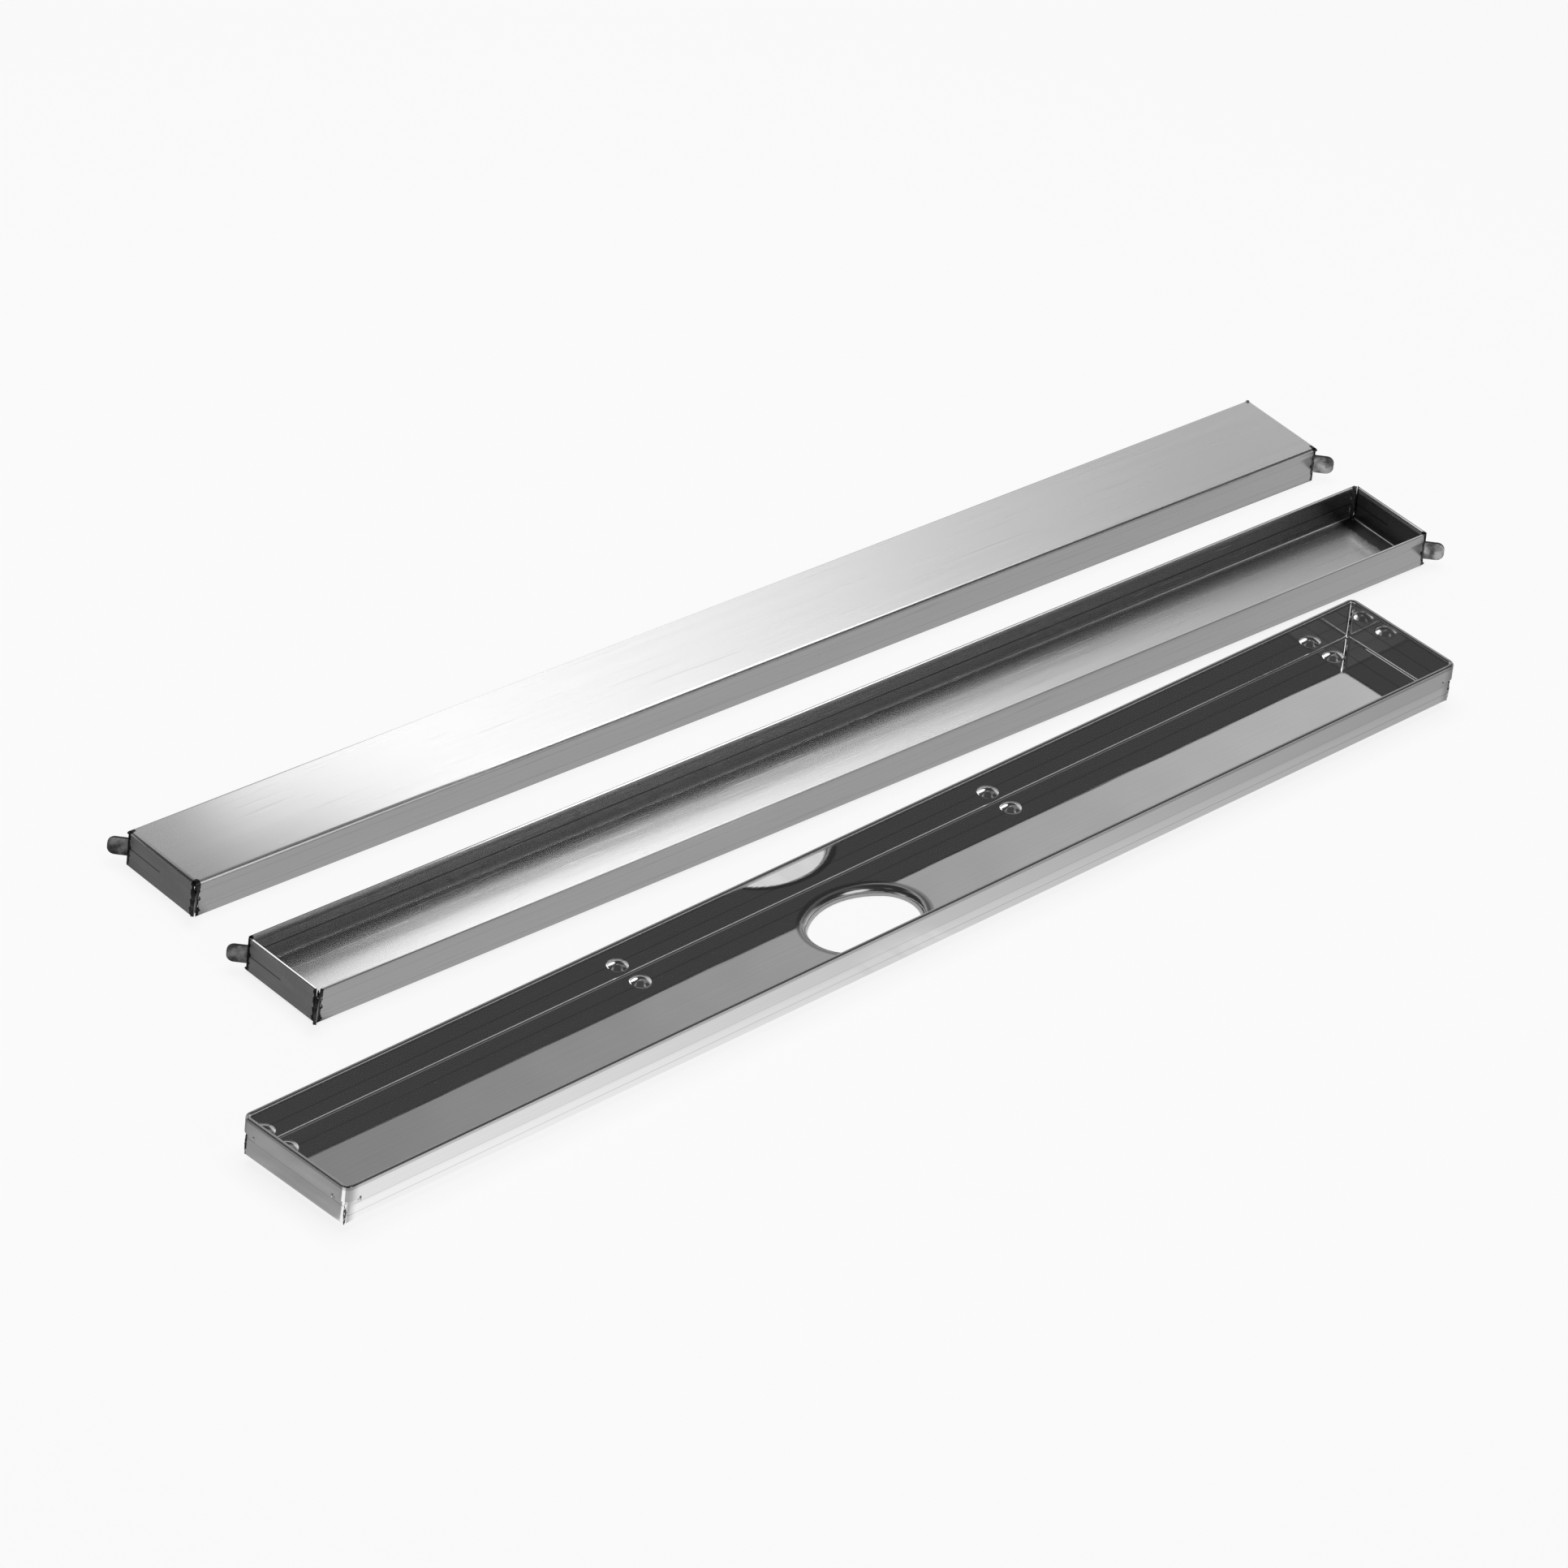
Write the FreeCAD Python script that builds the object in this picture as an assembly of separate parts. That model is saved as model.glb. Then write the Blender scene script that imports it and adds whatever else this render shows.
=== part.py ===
import FreeCAD, Part
import math
import os
from FreeCAD import Placement, Rotation, Vector

# Linear shower drain laid out as a set: a folded stainless channel with an oval outlet,
# and its two covers beside it, one as a tray for tile and one smooth side up.
# Millimetres. X runs along the channel, Z is up, and the origin is the centre of the
# outlet's mouth, in the plane that all three pieces stand on.

# Channel: a pan whose walls bend up from the floor and meet at welded corners
channel_length = 700.0
channel_width = 69.0
channel_height = 21.5
channel_sheet = 1.0
floor_bend = 1.2
corner_bend = 2.0

# Hem round the channel's rim: the wall is folded outward and down, nearly closed
hem_gap = 0.2
hem_depth = 10.0
hem_corner_depth = 8.2
hem_corner_run = 4.0
relief_depth = 7.2
relief_width = 1.2

# Outlet: an oval neck drawn down out of the channel's floor
outlet_length = 60.0
outlet_width = 42.0
outlet_end_radius = 16.0
outlet_lip_radius = 4.0
neck_drop = 3.5

# Bosses pressed up out of the channel's floor, which carry the cover
boss_radius = 5.5
boss_height = 2.0
boss_foot_radius = 1.2
boss_punch_radius = 4.6
boss_side_inset = 9.8
boss_end_inset = 20.0
boss_outlet_distance = 117.0

# Covers: the slot is the gap that water runs through, all round between cover and channel
cover_slot = 7.0
cover_sheet = 1.2
cover_bend = 0.8

# Lugs in the covers' corner seams, which keep the slot even
lug_sheet = 1.5
lug_height = 9.2
lug_tip_radius = 3.6
lug_clearance = 0.4
lug_root = 1.2
notch_depth = 0.9
notch_margin = 0.8

# Where the two covers lie: centre, and turn about Z in degrees
tray_along = 87.5
tray_behind = 99.5
tray_turn_degrees = -2.75
smooth_along = 99.0
smooth_behind = 189.5
smooth_turn_degrees = -3.65

# Sizes that follow
rim_width = 2 * channel_sheet + hem_gap
rim_corner_radius = corner_bend + rim_width
underside = neck_drop
floor_top = underside + channel_sheet
rim_top = underside + channel_height
fold_height = rim_top - rim_width / 2
half_run = channel_length / 2 - rim_corner_radius
half_span = channel_width / 2 - rim_corner_radius
cover_length = channel_length - 2 * (rim_width + cover_slot)
cover_width = channel_width - 2 * (rim_width + cover_slot)
cover_height = channel_height - channel_sheet - boss_height
lug_middle = cover_height / 2
corner_reach = math.sqrt(2) * cover_slot - (math.sqrt(2) - 1) * corner_bend
lug_length = corner_reach - lug_clearance

ORIGIN = Vector(0, 0, 0)
UP = Vector(0, 0, 1)


def at(across, height):
    """A point of a section, which is drawn in the XZ plane."""
    return Vector(across, 0, height)


def line(start, end):
    return Part.LineSegment(start, end).toShape()


def arc(centre, radius, from_degrees, to_degrees, across=Vector(1, 0, 0), along=UP):
    """An arc about centre, in the XZ plane unless two other axes are given."""
    turns = [math.radians(a) for a in (from_degrees, (from_degrees + to_degrees) / 2, to_degrees)]
    points = [centre + radius * (math.cos(a) * across + math.sin(a) * along) for a in turns]
    return Part.Arc(*points).toShape()


def face_of(edges):
    return Part.Face(Part.Wire(Part.__sortEdges__(edges)))


def moved(shape, x, y, z=0.0):
    copy = shape.copy()
    copy.translate(Vector(x, y, z))
    return copy


def turned(shape, degrees):
    copy = shape.copy()
    copy.rotate(ORIGIN, UP, degrees)
    return copy


# Folded pans, for the channel and both covers


def rounded_block(length, width, low, high, bend):
    """A block whose four lower edges are rounded, as the outside or inside of a folded pan."""
    def bar(size, run):
        half = size / 2
        section = face_of([
            line(at(bend - half, low), at(half - bend, low)),
            arc(at(half - bend, low + bend), bend, -90, 0),
            line(at(half, low + bend), at(half, high)),
            line(at(half, high), at(-half, high)),
            line(at(-half, high), at(-half, low + bend)),
            arc(at(bend - half, low + bend), bend, 180, 270),
        ])
        return moved(section.extrude(Vector(0, run, 0)), 0, -run / 2)
    return bar(length, width).common(turned(bar(width, length), 90))


def rounded_prism(length, width, low, high, radius):
    """An upright block with rounded corners in plan."""
    block = moved(Part.makeBox(length, width, high - low), -length / 2, -width / 2, low)
    upright = [e for e in block.Edges if e.BoundBox.ZLength > e.BoundBox.DiagonalLength / 2]
    return block.makeFillet(radius, upright)


# Channel


def channel_body():
    """The floor and the four walls, up to where the hem's fold begins."""
    def block(inset, low, high, bend, corner):
        length = channel_length - 2 * inset
        width = channel_width - 2 * inset
        pan = rounded_block(length, width, low, high, bend)
        return pan.common(rounded_prism(length, width, low, high, corner))
    outer_inset = rim_width - channel_sheet
    outer_bend = floor_bend + channel_sheet
    outer_corner = corner_bend + channel_sheet
    outside = block(outer_inset, underside, fold_height, outer_bend, outer_corner)
    inside = block(rim_width, floor_top, rim_top, floor_bend, corner_bend)
    return outside.cut(inside)


def hem_section(depth):
    """The rim's fold and the leg that hangs outside the wall, from the rim corner's centre."""
    fold = at(rim_corner_radius - rim_width / 2, fold_height)
    leg = rim_corner_radius - channel_sheet
    foot = rim_top - depth
    return face_of([
        line(at(corner_bend, fold.z), at(leg, fold.z)),
        line(at(leg, fold.z), at(leg, foot)),
        line(at(leg, foot), at(rim_corner_radius, foot)),
        line(at(rim_corner_radius, foot), at(rim_corner_radius, fold.z)),
        arc(fold, rim_width / 2, 0, 180),
    ])


def hem_side(run):
    """One straight side: the leg is shorter at both ends, past a relief notch."""
    middle = run - 2 * (hem_corner_run + relief_width)
    stretches = [
        (hem_corner_run, hem_corner_depth), (relief_width, relief_depth), (middle, hem_depth),
        (relief_width, relief_depth), (hem_corner_run, hem_corner_depth)]
    pieces = []
    start = 0.0
    for length, depth in stretches:
        pieces.append(moved(hem_section(depth).extrude(Vector(0, length, 0)), 0, start))
        start += length
    return pieces


def hem():
    """Four sides and four corners, which turn anticlockwise from the near right corner."""
    corner = hem_section(hem_corner_depth).revolve(ORIGIN, UP, 90)
    pieces = []
    for k, (sx, sy) in enumerate(((1, -1), (1, 1), (-1, 1), (-1, -1))):
        run = 2 * (half_run if k % 2 else half_span)
        for piece in hem_side(run):
            pieces.append(moved(turned(piece, 90 * k), sx * half_run, sy * half_span))
        pieces.append(moved(turned(corner, 90 * (k - 1)), sx * half_run, sy * half_span))
    return pieces


# Outlet


def oval_arcs():
    """The oval as four tangent arcs: centre, radius and the angles it runs between."""
    end_centre = outlet_length / 2 - outlet_end_radius
    half_width = outlet_width / 2
    spare = half_width - outlet_end_radius
    side_radius = (end_centre ** 2 + half_width ** 2 - outlet_end_radius ** 2) / (2 * spare)
    side_centre = side_radius - half_width
    join = math.degrees(math.atan2(side_centre, end_centre))
    return [
        (end_centre, 0, outlet_end_radius, -join, join),
        (0, -side_centre, side_radius, join, 180 - join),
        (-end_centre, 0, outlet_end_radius, 180 - join, 180 + join),
        (0, side_centre, side_radius, 180 + join, 360 - join),
    ]


def oval_block(margin, low, high):
    """The outlet's oval, wider by the margin all round, as an upright block."""
    plan_y = Vector(0, 1, 0)
    edges = [
        arc(Vector(x, y, low), radius + margin, start, end, along=plan_y)
        for x, y, radius, start, end in oval_arcs()
    ]
    return face_of(edges).extrude(Vector(0, 0, high - low))


def neck():
    """The drawn edge of the outlet: the floor rolls down into a short upright collar."""
    pieces = []
    for x, y, radius, start, end in oval_arcs():
        roll = at(radius + outlet_lip_radius, floor_top - outlet_lip_radius)
        outside = radius + channel_sheet
        section = face_of([
            arc(roll, outlet_lip_radius, 90, 180),
            line(at(radius, roll.z), at(radius, 0)),
            line(at(radius, 0), at(outside, 0)),
            line(at(outside, 0), at(outside, roll.z)),
            arc(roll, outlet_lip_radius - channel_sheet, 180, 90),
            line(at(roll.x, underside), at(roll.x, floor_top)),
        ])
        piece = section.revolve(ORIGIN, UP, end - start)
        pieces.append(moved(turned(piece, start), x, y))
    return pieces


# Bosses


def boss():
    """A domed boss with a rounded foot on top, and the punch's cone in the floor's underside."""
    rise = boss_height
    dome_radius = (boss_radius ** 2 - 2 * boss_foot_radius * rise + rise ** 2) / (2 * rise)
    dome = at(0, rise - dome_radius)
    foot = at(boss_radius, boss_foot_radius)
    lean = math.degrees(math.atan2(foot.z - dome.z, foot.x))
    punch_edge = at(boss_punch_radius, -channel_sheet)
    punch_tip = at(0, rise - channel_sheet)
    section = face_of([
        arc(dome, dome_radius, 90, lean),
        arc(foot, boss_foot_radius, lean + 180, 270),
        line(at(boss_radius, 0), at(boss_radius, -channel_sheet)),
        line(at(boss_radius, -channel_sheet), punch_edge),
        line(punch_edge, punch_tip),
        line(punch_tip, at(0, rise)),
    ])
    return moved(section.revolve(ORIGIN, UP, 360), 0, 0, floor_top)


def boss_places():
    """Four pairs: one pair at each end, and one each side of the outlet."""
    outer = channel_length / 2 - boss_end_inset
    side = channel_width / 2 - boss_side_inset
    columns = (-outer, -boss_outlet_distance, boss_outlet_distance, outer)
    return [(x, y) for x in columns for y in (-side, side)]


def channel():
    holes = [oval_block(outlet_lip_radius, 0, rim_top)]
    holes += [moved(Part.makeCylinder(boss_radius, rim_top), x, y) for x, y in boss_places()]
    pressed = neck() + [moved(boss(), x, y) for x, y in boss_places()]
    return channel_body().cut(holes).multiFuse(pressed + hem()).removeSplitter()


# Covers


def cover_corners():
    """Each corner: its side in X and Y, and the turn that points X out along its diagonal."""
    return [(sx, sy, math.degrees(math.atan2(sy, sx))) for sx in (-1, 1) for sy in (-1, 1)]


def placed_at_corner(shape, sx, sy, turn):
    return moved(turned(shape, turn), sx * cover_length / 2, sy * cover_width / 2)


def seam(long_wall_side):
    """The open seam in a corner, as wide as the lug, with a notch for it in the long wall."""
    reach = 2 * (cover_sheet + lug_root)
    start = cover_bend + cover_sheet
    slot = moved(Part.makeBox(2 * reach, lug_sheet, cover_height), -reach, -lug_sheet / 2, start)
    tall = lug_height + 2 * notch_margin
    notch = Part.makeBox(2 * reach, lug_sheet / 2 + notch_depth, tall)
    lengthwise = [e for e in notch.Edges if e.BoundBox.XLength > reach]
    inner_edges = [e for e in lengthwise if e.CenterOfMass.y > notch_depth]
    notch = moved(notch.makeFillet(notch_depth / 2, inner_edges), -reach, 0, lug_middle - tall / 2)
    if long_wall_side < 0:
        notch = notch.mirror(ORIGIN, Vector(0, 1, 0))
    return slot.fuse(notch)


def cover_sheet_metal():
    """The folded sheet of a cover, open side up."""
    outside = rounded_block(cover_length, cover_width, 0, cover_height, cover_bend + cover_sheet)
    inner_length = cover_length - 2 * cover_sheet
    inner_width = cover_width - 2 * cover_sheet
    inside = rounded_block(inner_length, inner_width, cover_sheet, 2 * cover_height, cover_bend)
    pan = outside.cut(inside)
    for sx, sy, turn in cover_corners():
        pan = pan.cut(placed_at_corner(seam(sx * sy), sx, sy, turn))
    return pan


def lug():
    """A tongue that stands on edge in the seam and points out along the corner's diagonal."""
    root = -math.sqrt(2) * cover_sheet - lug_root
    low = lug_middle - lug_height / 2
    high = lug_middle + lug_height / 2
    tip = lug_length - lug_tip_radius
    section = face_of([
        line(at(root, low), at(tip, low)),
        arc(at(tip, low + lug_tip_radius), lug_tip_radius, -90, 0),
        line(at(lug_length, low + lug_tip_radius), at(lug_length, high - lug_tip_radius)),
        arc(at(tip, high - lug_tip_radius), lug_tip_radius, 0, 90),
        line(at(tip, high), at(root, high)),
        line(at(root, high), at(root, low)),
    ])
    return moved(section.extrude(Vector(0, lug_sheet, 0)), 0, -lug_sheet / 2)


def cover(sheet_name, lug_name, place, smooth_side_up):
    """A cover's sheet and four lugs where they lie, turned over if its smooth side is up."""
    pieces = {sheet_name: cover_sheet_metal()}
    for sx, sy, turn in cover_corners():
        depth = "near" if (sy < 0) != smooth_side_up else "far"
        side = "left" if sx < 0 else "right"
        pieces[f"{lug_name}_{depth}_{side}"] = placed_at_corner(lug(), sx, sy, turn)
    along, behind, lay_turn = place
    lay = Placement(Vector(along, behind, 0), Rotation(UP, lay_turn))
    if smooth_side_up:
        lay = lay.multiply(Placement(Vector(0, 0, cover_height), Rotation(Vector(1, 0, 0), 180)))
    for shape in pieces.values():
        shape.Placement = lay.multiply(shape.Placement)
    return pieces


def main():
    tray_place = (tray_along, tray_behind, tray_turn_degrees)
    smooth_place = (smooth_along, smooth_behind, smooth_turn_degrees)
    pieces = {"channel": channel()}
    pieces.update(cover("tile_tray", "tray_lug", tray_place, False))
    pieces.update(cover("smooth_cover", "cover_lug", smooth_place, True))
    os.makedirs("parts", exist_ok=True)
    for name, shape in pieces.items():
        if not shape.isValid() or len(shape.Solids) != 1:
            raise ValueError(f"{name} is not one valid solid")
        shape.exportStep(f"parts/{name}.step")
        print(name, round(shape.Volume), "mm3")


main()
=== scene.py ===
import bpy
import math
from mathutils import Matrix, Vector


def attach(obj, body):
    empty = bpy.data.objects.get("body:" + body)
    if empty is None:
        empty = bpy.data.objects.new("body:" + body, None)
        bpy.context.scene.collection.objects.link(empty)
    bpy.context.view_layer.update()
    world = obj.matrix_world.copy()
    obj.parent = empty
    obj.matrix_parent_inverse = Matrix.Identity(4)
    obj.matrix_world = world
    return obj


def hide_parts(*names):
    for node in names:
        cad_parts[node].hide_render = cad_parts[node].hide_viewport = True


# A linear shower drain laid out as a set on a white sweep: the polished channel in front,
# the tray for tile behind it, and the smooth cover at the back. Metres, the CAD's own frame.
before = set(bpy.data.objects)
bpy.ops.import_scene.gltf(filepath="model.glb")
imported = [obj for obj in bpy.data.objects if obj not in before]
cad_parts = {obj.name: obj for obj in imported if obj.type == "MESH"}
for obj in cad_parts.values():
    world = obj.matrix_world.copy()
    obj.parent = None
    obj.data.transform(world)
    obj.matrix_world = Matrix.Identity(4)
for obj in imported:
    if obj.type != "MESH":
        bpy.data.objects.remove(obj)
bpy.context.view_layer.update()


# Channel: one sheet of stainless, folded up into a trough, its rim hemmed outward and
# down, its corners welded. The outlet is drawn down and eight bosses are pressed up.
# It is polished bright, so nearly all that it shows is the studio round it.
class Wire:
    """An output of a shader node that takes part in arithmetic, which adds Math nodes."""

    def __init__(self, socket):
        self.socket = socket

    def node(self, kind, settings, sockets, output=0):
        """Any node: its settings first, then the numbers, colours or wires on its sockets."""
        tree = self.socket.id_data
        made = tree.nodes.new(kind)
        for name, value in settings.items():
            if name == "stops":
                ramp = made.color_ramp.elements
                while len(ramp) < len(value):
                    ramp.new(0.5)
                for stop, (place, tone) in zip(ramp, value):
                    stop.position = place
                    stop.color = (tone, tone, tone, 1.0)
            else:
                setattr(made, name, value)
        for name, value in sockets.items():
            socket = made.inputs[name]
            if isinstance(value, Wire):
                tree.links.new(value.socket, socket)
            else:
                socket.default_value = value
        return Wire(made.outputs[output])

    def maths(self, operation, *values):
        return self.node("ShaderNodeMath", {"operation": operation}, dict(enumerate(values)))

    def __add__(self, other):
        return self.maths("ADD", self, other)

    __radd__ = __add__

    def __sub__(self, other):
        return self.maths("SUBTRACT", self, other)

    def __rsub__(self, other):
        return self.maths("SUBTRACT", other, self)

    def __mul__(self, other):
        return self.maths("MULTIPLY", self, other)

    __rmul__ = __mul__

    def __abs__(self):
        return self.maths("ABSOLUTE", self)

    def larger(self, other):
        return self.maths("MAXIMUM", self, other)

    def smaller(self, other):
        return self.maths("MINIMUM", self, other)

    def vector(self, operation, *values, output=0):
        return self.node(
            "ShaderNodeVectorMath", {"operation": operation}, dict(enumerate(values)), output)

    def part(self, index):
        """The x, y or z of a place."""
        return self.node("ShaderNodeSeparateXYZ", {}, {0: self}, output=index)

    def noise(self, scale, detail=2.0, roughness=0.5):
        """Noise from 0 to 1 whose pattern is stretched by a scale along each axis."""
        return self.node("ShaderNodeTexNoise", {}, {
            "Vector": self.vector("MULTIPLY", self, scale),
            "Scale": 1.0, "Detail": detail, "Roughness": roughness})

    def ramped(self, low, high, to_low=0.0, to_high=1.0):
        """A smooth change from to_low to to_high as the value goes from low to high."""
        return self.node("ShaderNodeMapRange", {"interpolation_type": "SMOOTHSTEP"}, {
            "Value": self, "From Min": low, "From Max": high, "To Min": to_low, "To Max": to_high})

    def line(self, centre, half_width):
        """1 where the value is at the centre, falling smoothly to 0 at half_width off it."""
        return abs(self - centre).ramped(0.0, half_width, 1.0, 0.0)


def tint(tone):
    """A neutral steel colour of that brightness."""
    return (tone, tone, tone, 1.0)


def metal(name, **constants):
    """A new metal: its material, its Principled shader and its Object coordinates."""
    made = bpy.data.materials.new(name)
    made.use_nodes = True
    shader = made.node_tree.nodes["Principled BSDF"]
    shader.inputs["Metallic"].default_value = 1.0
    for socket, value in constants.items():
        shader.inputs[socket.replace("_", " ")].default_value = value
    return made, shader, Wire(made.node_tree.nodes.new("ShaderNodeTexCoord").outputs["Object"])


def finish_metal(shader, brightness, roughness, height, depth):
    """Feeds a metal: brightness as a grey, roughness, and a height as a bump depth metres deep."""
    links = shader.id_data.links
    coloured = brightness.node("ShaderNodeMix", {"data_type": "RGBA"}, {
        0: brightness, 6: tint(0.0), 7: tint(1.0)}, output=2)
    links.new(coloured.socket, shader.inputs["Base Color"])
    links.new(roughness.socket, shader.inputs["Roughness"])
    bump = height.node("ShaderNodeBump", {}, {
        "Height": height, "Distance": depth, "Strength": 1.0})
    links.new(bump.socket, shader.inputs["Normal"])


channel_half_length = 0.350
channel_half_width = 0.0345
channel_rim = 0.025
hem_edge = 0.015
side_line_height = 0.0086
relief_height = 0.0162
relief_along = 0.3412
relief_across = 0.0257
lip_half_length = 0.0355
lip_half_width = 0.0265
polished, polished_shader, on_channel = metal("polished_steel")
level = on_channel.part(2)
from_middle = abs(on_channel.part(0))
from_centre_line = abs(on_channel.part(1))
past_end = from_middle - channel_half_length
past_side = from_centre_line - channel_half_width
sheet_waves = on_channel.noise((9.0, 14.0, 14.0))
polishing_lines = on_channel.noise((14.0, 900.0, 900.0), 3.0)
# Painted shade darkens the folded rim, which is also rougher.
shaded_rim_fold = level.ramped(channel_rim - 0.0024, channel_rim - 0.0016)

# Painted shade on the outside: under the hem's edge, toward the ends of the long walls, and
# round the relief notches at the hem's corners; and a thin dark line along the long walls.
outer_side = past_side.ramped(-0.0017, -0.0015)
hem_shade = 0.30 * level.line(hem_edge - 0.0012, 0.0006)
side_shade = 0.28 * level.line(side_line_height, 0.0004) + 0.55 * past_end.ramped(-0.0085, -0.0015)
end_relief = past_end.ramped(-0.0020, -0.0018) * from_centre_line.line(relief_across, 0.0011)
side_relief = past_side.ramped(-0.0020, -0.0018) * from_middle.line(relief_along, 0.0011)
relief_shade = 0.9 * end_relief.larger(side_relief) * level.line(relief_height, 0.0022)
shades = hem_shade.larger(outer_side * side_shade) + relief_shade
# Painted shade darkens the outlet's drawn lip, which is also rougher.
lip_x = from_middle * (1.0 / lip_half_length)
lip_y = from_centre_line * (1.0 / lip_half_width)
shaded_drawn_lip = (lip_x * lip_x + lip_y * lip_y).ramped(0.95, 1.05, 1.0, 0.0)
bright = (0.84 + 0.08 * polishing_lines) * (1.0 - 0.35 * shaded_rim_fold) * (1.0 - 0.5 * shaded_drawn_lip)
finish_metal(
    polished_shader,
    bright * (1.0 - shades),
    0.035 + 0.03 * polishing_lines + 0.14 * shaded_rim_fold + 0.10 * shaded_drawn_lip,
    sheet_waves + 0.02 * polishing_lines,
    0.0004)
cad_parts["channel"].material_slots[0].material = polished

weld_steel, weld_shader, on_weld = metal("weld_steel")
weld_skin = on_weld.noise((800.0, 800.0, 500.0), 2.0).ramped(0.46, 0.66)
finish_metal(weld_shader, 0.06 + 0.86 * weld_skin, 0.40 - 0.25 * weld_skin, weld_skin, 0.0002)
weld_lumps = bpy.data.textures.new("weld_lumps", "CLOUDS")
weld_lumps.noise_scale = 0.0012


def weld_bead(name, finish, places, size, long):
    """One piece of weld: a ball at each place, drawn out upright to its length, and lumped."""
    bpy.ops.object.select_all(action="DESELECT")
    drops = []
    for place in places:
        bpy.ops.mesh.primitive_uv_sphere_add(
            segments=12, ring_count=int(8 + 1200 * long), radius=0.5, location=place)
        drops.append(bpy.context.object)
        drops[-1].scale = (size, size, long)
    for drop in drops:
        drop.select_set(True)
    bpy.context.view_layer.objects.active = drops[0]
    bpy.ops.object.join()
    bpy.ops.object.transform_apply(location=True, rotation=True, scale=True)
    bead = bpy.context.object
    bead.name = name
    lumps = bead.modifiers.new("lumps", "DISPLACE")
    lumps.texture = weld_lumps
    lumps.strength = 0.5 * size
    bpy.ops.object.modifier_apply(modifier="lumps")
    bpy.ops.object.shade_smooth()
    bead.data.materials.append(finish)
    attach(bead, "root")


corners = {"near_left": (-1, -1), "near_right": (1, -1), "far_left": (-1, 1), "far_right": (1, 1)}
for corner, (end, side) in corners.items():
    outside = (0.34795 * end, 0.03245 * side, 0.0097)
    inside = (0.34735 * end, 0.03185 * side, 0.0145)
    weld_bead("outer_weld_" + corner, weld_steel, [outside], 0.0013, 0.0118)
    weld_bead("inner_weld_" + corner, weld_steel, [inside], 0.0010, 0.0170)


# Tile tray: the cover for tile, open side up. One sheet folded up on four sides and
# left open at the corners, with the mill's lengthwise brushing still on it. The seams
# are burnt, darkened with painted shade, and tacked where a lug is welded into each.
cut_edge = 0.00015
cover_half_length = 0.3408
cover_half_width = 0.0253
rim_height = 0.0185
upper_mark = 0.0132
inner_mark = 0.0096
lower_mark = 0.0042
lug_centre = 0.00925
tray_lay = (0.0875, 0.0995, -2.75)


def dressed_copy(node, name, finish):
    """A merged copy of a CAD node that stands for it, with its cut edges rounded."""
    bpy.ops.object.select_all(action="DESELECT")
    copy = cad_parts[node].copy()
    copy.data = copy.data.copy()
    copy.name = name
    copy.parent = None
    bpy.context.scene.collection.objects.link(copy)
    bpy.context.view_layer.objects.active = copy
    copy.select_set(True)
    bpy.ops.mesh.customdata_custom_splitnormals_clear()
    bpy.ops.object.mode_set(mode="EDIT")
    bpy.ops.mesh.select_all(action="SELECT")
    bpy.ops.mesh.remove_doubles(threshold=0.000002)
    bpy.ops.mesh.dissolve_limited(angle_limit=math.radians(0.5))
    bpy.ops.object.mode_set(mode="OBJECT")
    rounding = copy.modifiers.new("rounding", "BEVEL")
    rounding.width = cut_edge
    rounding.segments = 2
    rounding.limit_method = "ANGLE"
    rounding.angle_limit = math.radians(50.0)
    bpy.ops.object.modifier_apply(modifier="rounding")
    bpy.ops.object.shade_smooth_by_angle(angle=math.radians(30.0))
    copy.data.materials.clear()
    copy.data.materials.append(finish)
    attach(copy, "root")
    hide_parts(node)
    return copy


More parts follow.
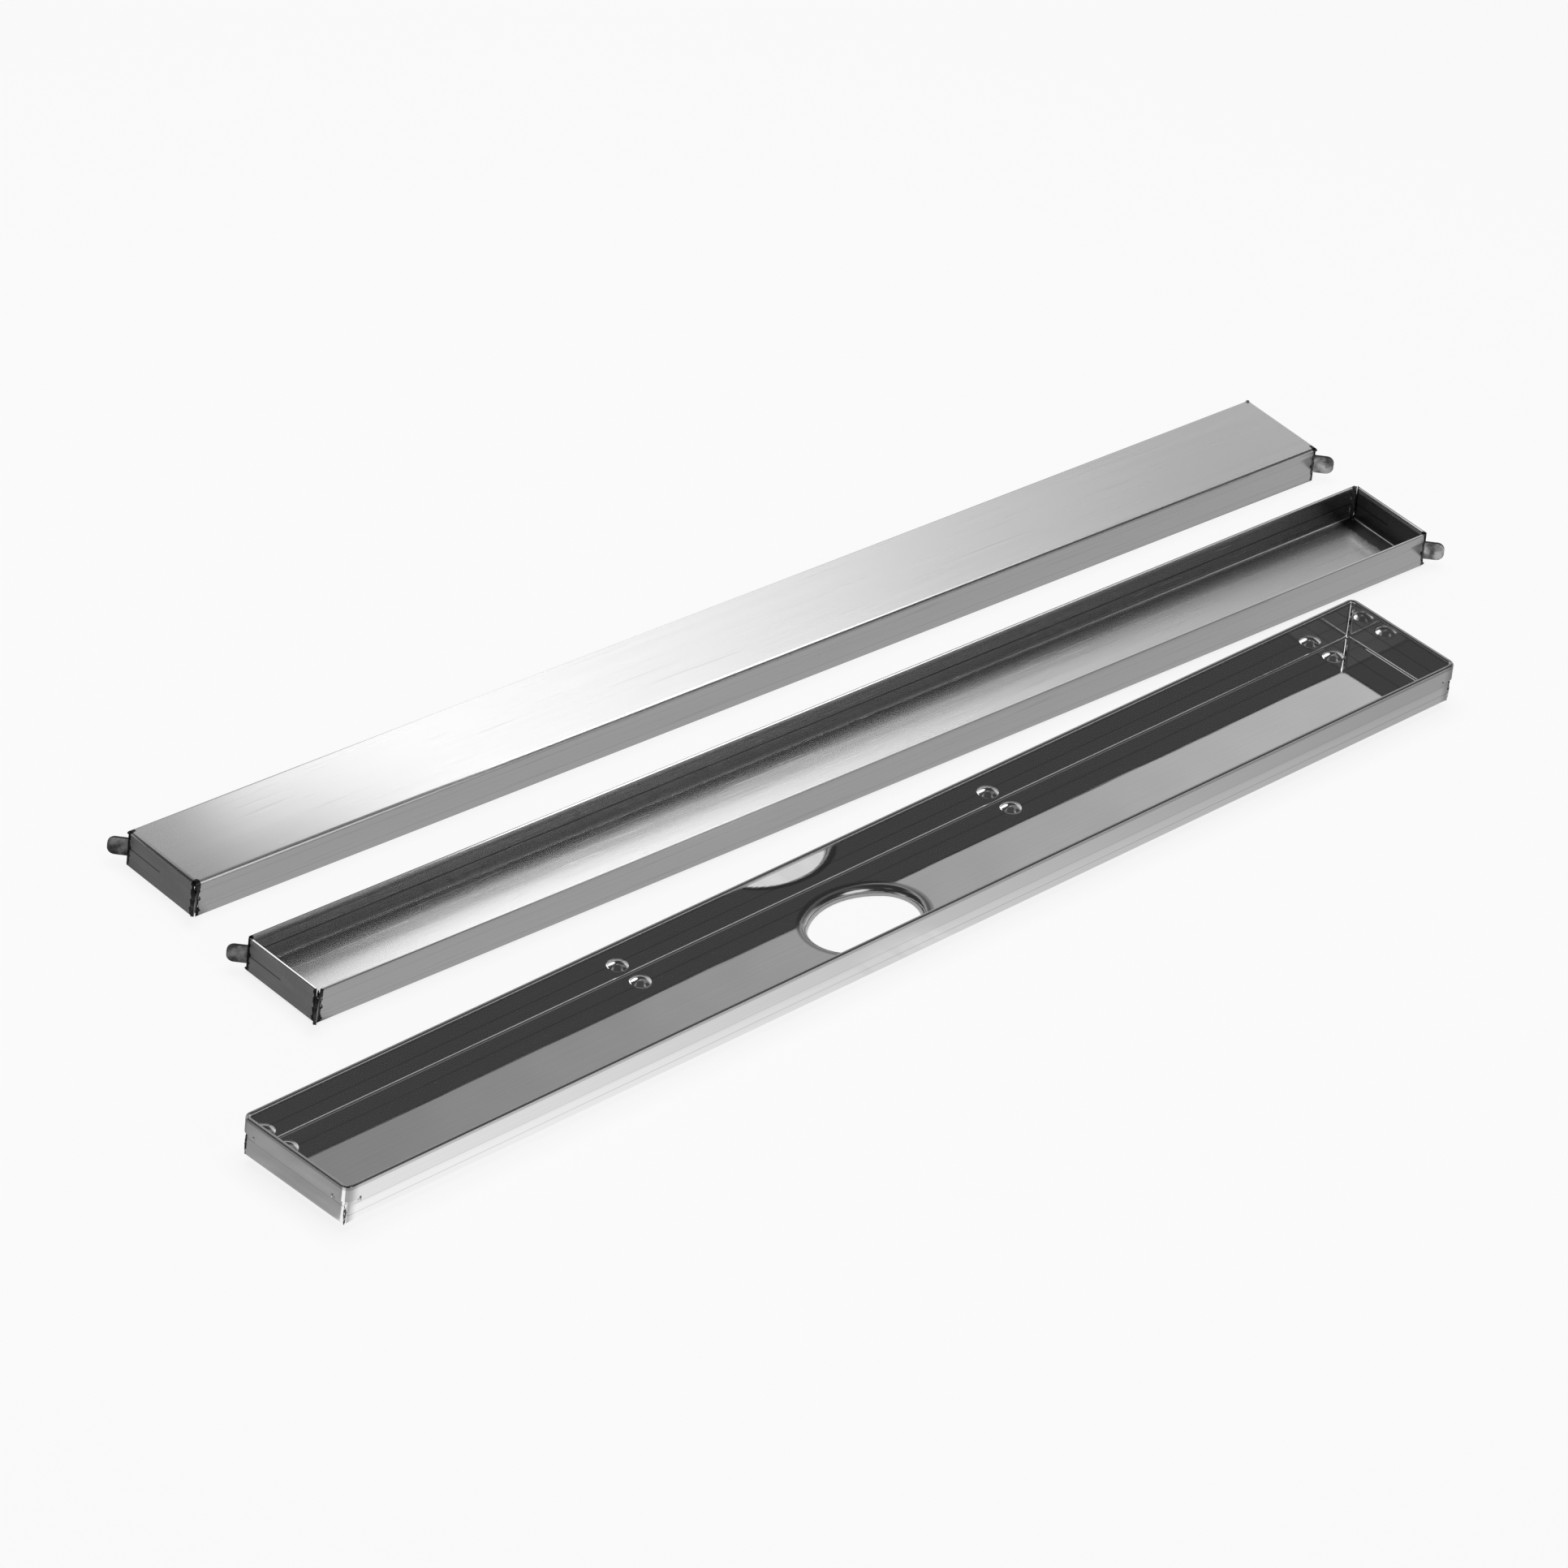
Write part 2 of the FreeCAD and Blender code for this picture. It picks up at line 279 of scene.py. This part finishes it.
def brushed_steel(name, lay, on_end=False):
    """Brushed stainless. The grain runs along the piece, and up and down on its two ends."""
    made, shader, place = metal(
        name, Anisotropic=0.82, Anisotropic_Rotation=0.0 if on_end else 0.25)
    centre_x, centre_y, turn = lay
    about_centre = place.vector("SUBTRACT", place, (centre_x, centre_y, 0.0))
    along = about_centre.node("ShaderNodeVectorRotate", {"rotation_type": "Z_AXIS"}, {
        "Vector": about_centre, "Angle": math.radians(-turn)})

    def stretched(run, across):
        return (across, across, run) if on_end else (run, across, across)

    grain = along.noise(stretched(22.0, 1800.0), 4.0, 0.7)
    bands = along.noise(stretched(3.0, 160.0), 2.0)
    streaks = along.noise(stretched(11.0, 700.0), 3.0, 0.6).ramped(0.60, 0.72)
    scratches = along.noise(stretched(16.0, 520.0), 1.0).ramped(0.70, 0.76)
    worn = 0.50 + 0.06 * grain + 0.04 * bands - 0.03 * streaks - 0.04 * scratches

    # The cut rim, darkened with painted shade, the lines that the folding left, and the burnt
    # seams in the corners, darkened with painted shade as well.
    height, across = along.part(2), along.part(1)
    past_x = abs(along.part(0)) - cover_half_length
    past_y = abs(across) - cover_half_width
    on_skin = past_x.larger(past_y).ramped(-0.0006, -0.0003)
    rim = height.ramped(rim_height - 0.0003, rim_height - 0.0001) * on_skin
    inside_far = across.ramped(0.0, 0.001) * past_y.ramped(-0.0004, -0.0002, 1.0, 0.0)
    roll_marks = 0.10 * height.line(upper_mark, 0.0003) + 0.12 * height.line(lower_mark, 0.0004)
    roll_marks = roll_marks + 0.75 * height.line(inner_mark, 0.0006) * inside_far
    ragged = 0.0045 * along.noise((450.0, 450.0, 450.0), 3.0)
    seam = (past_x.smaller(past_y) + ragged).ramped(-0.0010, -0.0003)

    # Painted reflection of the dark end wall, laid as shade on the inner face of the right end and
    # the floor beside it, but not on its outer face.
    past_right = along.part(0) - cover_half_length
    below_rim = height.ramped(0.0160, 0.0165, 1.0, 0.0)
    inside_right = past_right.ramped(-0.0010, -0.0009, 1.0, 0.0) * below_rim
    between_walls = past_y.ramped(-0.0015, -0.0013, 0.72, 0.0)
    painted_end_reflection = (past_right + ragged).ramped(-0.0085, -0.0065) * between_walls
    burn_and_painted_shade = (0.93 * seam).larger(inside_right * painted_end_reflection)
    finish_metal(
        shader,
        worn * (1.0 - roll_marks) * (1.0 - 0.6 * rim) * (1.0 - burn_and_painted_shade),
        0.20 + 0.08 * grain + 0.05 * streaks,
        grain + 3.0 * bands + 1.5 * streaks,
        0.000003)
    return made


def grained_along(piece, end_finish):
    """Makes the shine spread across the brushing, with a finish of its own on the ends."""
    piece.data.use_auto_texspace = False
    piece.data.texspace_location = (0.0, 50.0, 0.0)
    piece.data.texspace_size = (50.0, 1.0, 1.0)
    piece.data.materials.append(end_finish)
    for face in piece.data.polygons:
        face.material_index = int(abs(face.normal.x) > 0.75)


burnt_edge, burnt_shader, on_edges = metal("burnt_edge_steel")
soot = on_edges.noise((700.0, 700.0, 700.0), 3.0)
finish_metal(burnt_shader, 0.03 + 0.14 * soot, 0.3 + 0.3 * soot, soot, 0.0002)


def in_seam(lay, corner, from_end, from_side, height):
    """A point in a cover's corner seam, inward of its end and its side, at a height."""
    centre_x, centre_y, turn = lay
    end, side = corners[corner]
    moved = Matrix.Translation((centre_x, centre_y, 0.0))
    turned = Matrix.Rotation(math.radians(turn), 4, "Z")
    return moved @ turned @ Vector((
        end * (cover_half_length - from_end), side * (cover_half_width - from_side), height))


def tack_seams(piece, lay):
    """The burnt root of each corner seam, and bright drops of weld above and below the lug."""
    for corner in corners:
        drops = [in_seam(lay, corner, inset, inset, lug_centre + above) for above, inset in (
            (-0.0060, 0.0009), (-0.0047, 0.0013), (0.0049, 0.0008), (0.0061, 0.0012))]
        roots = [in_seam(lay, corner, from_end, from_side, lug_centre) for from_end, from_side in (
            (0.0020, 0.0020), (0.0016, 0.0007), (0.0023, 0.0010))]
        weld_bead(piece + "_tack_" + corner, weld_steel, drops, 0.0009, 0.0011)
        weld_bead(piece + "_root_" + corner, burnt_edge, roots, 0.0015, 0.0160)


tray = dressed_copy("tile_tray", "brushed_tray", brushed_steel("tray_brushed_steel", tray_lay))
grained_along(tray, brushed_steel("tray_end_brushed_steel", tray_lay, on_end=True))
tack_seams("tray", tray_lay)


# Smooth cover: the same folded sheet turned over, its closed side up. Its top is brushed
# from end to end, and its corner seams are burnt, darkened with painted shade, and tacked like the
# tray's.
cover_lay = (0.099, 0.1895, -3.65)
cover = dressed_copy(
    "smooth_cover", "brushed_cover", brushed_steel("cover_brushed_steel", cover_lay))
grained_along(cover, brushed_steel("cover_end_brushed_steel", cover_lay, on_end=True))
tack_seams("cover", cover_lay)


# Lugs: tongues of sheet on edge in the corner seams of both covers, tacked at the root,
# with the dark skin and the burr that cutting and welding leave.
lug_steel, lug_shader, on_lugs = metal("dark_lug_steel")
skin = on_lugs.noise((160.0, 160.0, 160.0), 4.0)
finish_metal(
    lug_shader, 0.12 + 0.55 * skin.ramped(0.35, 0.65), 0.25 + 0.25 * skin, skin, 0.0003)
for lug in [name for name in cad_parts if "_lug_" in name]:
    tongue = dressed_copy(lug, "dressed_" + lug, lug_steel)
    tongue.data.materials.append(burnt_edge)
    sheet_side = max(tongue.data.polygons, key=lambda face: face.area).normal.copy()
    for face in tongue.data.polygons:
        face.material_index = int(abs(face.normal.dot(sheet_side)) < 0.9)


# Floor: a plain white sweep, just under the drain. Most of the white that is seen is its
# own light, so the shadows on it are faint.
own_light = 0.82
bpy.ops.object.select_all(action="DESELECT")
bpy.ops.mesh.primitive_plane_add(size=120.0, location=(0.0, 0.0, -0.0004))
floor = bpy.context.object
floor.name = "floor"
white = bpy.data.materials.new("white_sweep")
white.use_nodes = True
white_tree = white.node_tree
white_shader = white_tree.nodes["Principled BSDF"]
white_shader.inputs["Base Color"].default_value = tint(0.9)
white_shader.inputs["Roughness"].default_value = 0.9
white_shader.inputs["Specular IOR Level"].default_value = 0.0
rays = white_tree.nodes.new("ShaderNodeLightPath").outputs
seen = Wire(rays["Is Camera Ray"]) + Wire(rays["Is Glossy Ray"])
seen = seen + Wire(rays["Is Transmission Ray"])
own_white = seen.node("ShaderNodeEmission", {}, {"Color": tint(1.0), "Strength": 1.0})
mixed = seen.node("ShaderNodeMixShader", {}, {
    0: own_light * seen.smaller(1.0), 1: Wire(white_shader.outputs[0]), 2: own_white})
white_tree.links.new(mixed.socket, white_tree.nodes["Material Output"].inputs["Surface"])
floor.data.materials.append(white)


# Studio: white at the horizon, grey above it and dark overhead, with darker flags that the
# bright metal shows, and one small white window in front, whose glint the bosses catch.
world = bpy.data.worlds.new("studio")
bpy.context.scene.world = world
world.use_nodes = True
toward = Wire(world.node_tree.nodes.new("ShaderNodeTexCoord").outputs["Generated"])
height = toward.part(2)


def flag(azimuth, elevation, inner, outer):
    """1 within inner degrees of a direction, falling smoothly to 0 at outer degrees."""
    turn, rise = math.radians(azimuth), math.radians(elevation)
    aim = (math.cos(turn) * math.cos(rise), math.sin(turn) * math.cos(rise), math.sin(rise))
    near = toward.vector("DOT_PRODUCT", toward, aim, output=1)
    return near.ramped(math.cos(math.radians(outer)), math.cos(math.radians(inner)))


low_left = flag(146.0, 6.0, 20.0, 32.0)
low_right = flag(44.0, 4.0, 18.0, 32.0).larger(flag(-34.0, 4.0, 16.0, 28.0))
behind_left = flag(137.0, 34.0, 20.0, 36.0).larger(low_left)
behind_left = behind_left.larger(flag(180.0, 48.0, 16.0, 30.0))
walls = 0.60
for darker, dark_flag in [
        (0.54, flag(-43.0, 33.0, 12.0, 30.0)),
        (0.56, behind_left),
        (0.50, flag(-137.0, 34.0, 12.0, 28.0)),
        (0.40, flag(60.0, 38.0, 9.0, 19.5)),
        (0.42, flag(0.0, 50.0, 18.0, 30.0)),
        (0.56, flag(-92.0, 36.0, 24.0, 40.0))]:
    walls = walls - darker * dark_flag
walls = walls.larger(0.06)
horizon = height.ramped(0.14, 0.34, 1.0, 0.0) * (1.0 - 0.95 * low_left) * (1.0 - 0.6 * low_right)
overhead = height.ramped(0.84, 0.95)
window = flag(-80.0, 36.0, 13.0, 17.0)
brightness = walls * (1.0 - horizon) * (1.0 - overhead) + horizon
brightness = brightness + 0.06 * overhead + 1.5 * window
background = world.node_tree.nodes["Background"]
world.node_tree.links.new(brightness.socket, background.inputs["Color"])

softbox_data = bpy.data.lights.new("softbox", "AREA")
softbox_data.size = 2.0
softbox_data.energy = 42.0
softbox = bpy.data.objects.new("softbox", softbox_data)
bpy.context.scene.collection.objects.link(softbox)
softbox.location = (0.0, 0.1, 2.4)
softbox.visible_camera = False
softbox.visible_glossy = False


def reflected_card(name, low, high, height):
    """A flat card that is seen only in metal, as a photographer lays one beside the work."""
    bpy.ops.object.select_all(action="DESELECT")
    middle = [(a + b) / 2 for a, b in zip(low, high)]
    bpy.ops.mesh.primitive_plane_add(size=1.0, location=(*middle, height))
    card = bpy.context.object
    card.name = name
    card.scale = (high[0] - low[0], high[1] - low[1], 1.0)
    bpy.ops.object.transform_apply(location=True, scale=True)
    for ray in ("camera", "diffuse", "transmission", "volume_scatter", "shadow"):
        setattr(card, "visible_" + ray, False)
    glow = bpy.data.materials.new(name)
    glow.use_nodes = True
    tree = glow.node_tree
    tree.nodes.remove(tree.nodes["Principled BSDF"])
    card.data.materials.append(glow)
    return tree, Wire(tree.nodes.new("ShaderNodeTexCoord").outputs["Object"])


def light_card(tree, strength, clear=False):
    """Lights a card with that strength. A clear card only adds to what is seen through it."""
    glow = strength.node("ShaderNodeEmission", {}, {"Color": strength, "Strength": 1.0})
    if clear:
        clear_sheet = glow.node("ShaderNodeBsdfTransparent", {}, {})
        glow = glow.node("ShaderNodeAddShader", {}, {0: glow, 1: clear_sheet})
    tree.links.new(glow.socket, tree.nodes["Material Output"].inputs["Surface"])


# The light that the covers' tops show: brightest a quarter of the way along. A brushed top
# spreads each direction into a cone about its grain, so the profile follows that cone. The
# part of it that the tray shows is shifted, and comes up more slowly at the left.
light_height = 0.41
mirror_run = 0.607
cone_spread = 1.0 - mirror_run ** 2
covers_behind = 0.16
tray_shift = -0.09
shown_from = -0.33
shown_to = 0.45
light_profile = [
    (0.0, 0.17), (0.014, 0.30), (0.04, 0.79), (0.087, 0.78), (0.135, 0.75), (0.20, 0.71),
    (0.28, 0.66), (0.39, 0.60), (0.475, 0.54), (0.57, 0.465), (0.65, 0.39), (0.72, 0.30),
    (0.80, 0.23), (0.89, 0.175), (1.0, 0.095)]
brushed_pieces = bpy.data.collections.new("brushed_pieces")
brushed_pieces.objects.link(tray)
brushed_pieces.objects.link(cover)


def gradient_light(name, low, high, strength, at_left=1.0, at_right=1.0):
    """A clear card of graded light over the two covers, which alone show it."""
    tree, place = reflected_card(name, low, high, light_height)
    bpy.data.objects[name].light_linking.receiver_collection = brushed_pieces
    along_card = place.part(0)
    away = place.part(1) - covers_behind
    square = (away * away + light_height ** 2) * (1.0 / cone_spread)
    shown_at = along_card - mirror_run * square.maths("SQRT", square)
    behind_tray = away.ramped(0.354, 0.444, tray_shift, 0.0)
    shown_at = shown_at + behind_tray * shown_at.ramped(-0.30, 0.25, 1.0, -0.5)
    slow_start = 1.0 + 5.5 * behind_tray * shown_at.ramped(-0.34, -0.21, 1.0, 0.0)
    shown_share = place.node("ShaderNodeMapRange", {}, {
        "Value": shown_at, "From Min": shown_from, "From Max": shown_to})
    profile = place.node("ShaderNodeValToRGB", {"stops": light_profile}, {0: shown_share})
    left = along_card.ramped(0.04, 0.19, at_left, 1.0)
    right = along_card.ramped(0.40, 0.75, 1.0, at_right)
    light_card(tree, strength * profile * (left * right) * slow_start, clear=True)


gradient_light("far_light", (-0.2, 0.47), (1.9, 1.5), 2.10)
gradient_light("near_light", (-0.2, 0.10), (1.2, 0.365), 7.4, at_left=0.2, at_right=1.1)

# The table as the steel shows it: lighter in front to the left, darker off the covers' left
# ends, mottled there and under the outlet, and white far out.
table_tree, on_table = reflected_card("grey_table", (-1.2, -1.2), (1.3, 1.3), -0.0002)
along, behind = on_table.part(0), on_table.part(1)
front = along.ramped(-0.40, 0.42, 1.0, 0.40) * behind.ramped(-0.049, -0.044, 0.85, 1.0)
in_front = behind.ramped(-0.030, -0.020, 1.0, 0.0)
left_ends = behind.ramped(0.05, 0.09, -0.338, -0.240) + behind.ramped(0.15, 0.2, 0.0, 0.011)
at_left = (along - left_ends).ramped(-0.012, 0.0, 1.0, 0.0) * (1.0 - in_front)
mottle = 0.65 + 0.7 * on_table.noise((110.0, 28.0, 1.0))
from_outlet = on_table.vector("LENGTH", on_table, output=1)
at_outlet = from_outlet.ramped(0.045, 0.06, 1.0, 0.0)
far_out = from_outlet.ramped(0.7, 1.1)
grey = 0.58 + (front - 0.58) * in_front
grey = grey + (behind.ramped(0.04, 0.07, 0.32, 0.20) * mottle - grey) * at_left
grey = grey + (0.42 + 0.30 * mottle - grey) * at_outlet
grey = grey + (1.0 - grey) * far_out
light_card(table_tree, grey)


# Camera: from the front left, a little raised and rolled, with a long lens. Its place was
# fitted to the corners of the three pieces.
photo_side = 1932
focal_pixels = 16000
camera_azimuth = math.radians(-47.095)
camera_elevation = math.radians(34.03)
camera_roll = math.radians(6.309)
camera_data = bpy.data.cameras.new("camera")
camera_data.sensor_width = 36.0
camera_data.lens = camera_data.sensor_width * focal_pixels / photo_side
camera_data.clip_end = 200.0
camera = bpy.data.objects.new("camera", camera_data)
bpy.context.scene.collection.objects.link(camera)
camera.matrix_world = (
    Matrix.Translation((-3.583102, -3.27098, 3.348841))
    @ Matrix.Rotation(camera_azimuth, 4, "Z")
    @ Matrix.Rotation(math.pi / 2 - camera_elevation, 4, "X")
    @ Matrix.Rotation(camera_roll, 4, "Z"))
bpy.context.scene.camera = camera
bpy.context.scene.view_settings.view_transform = "Standard"
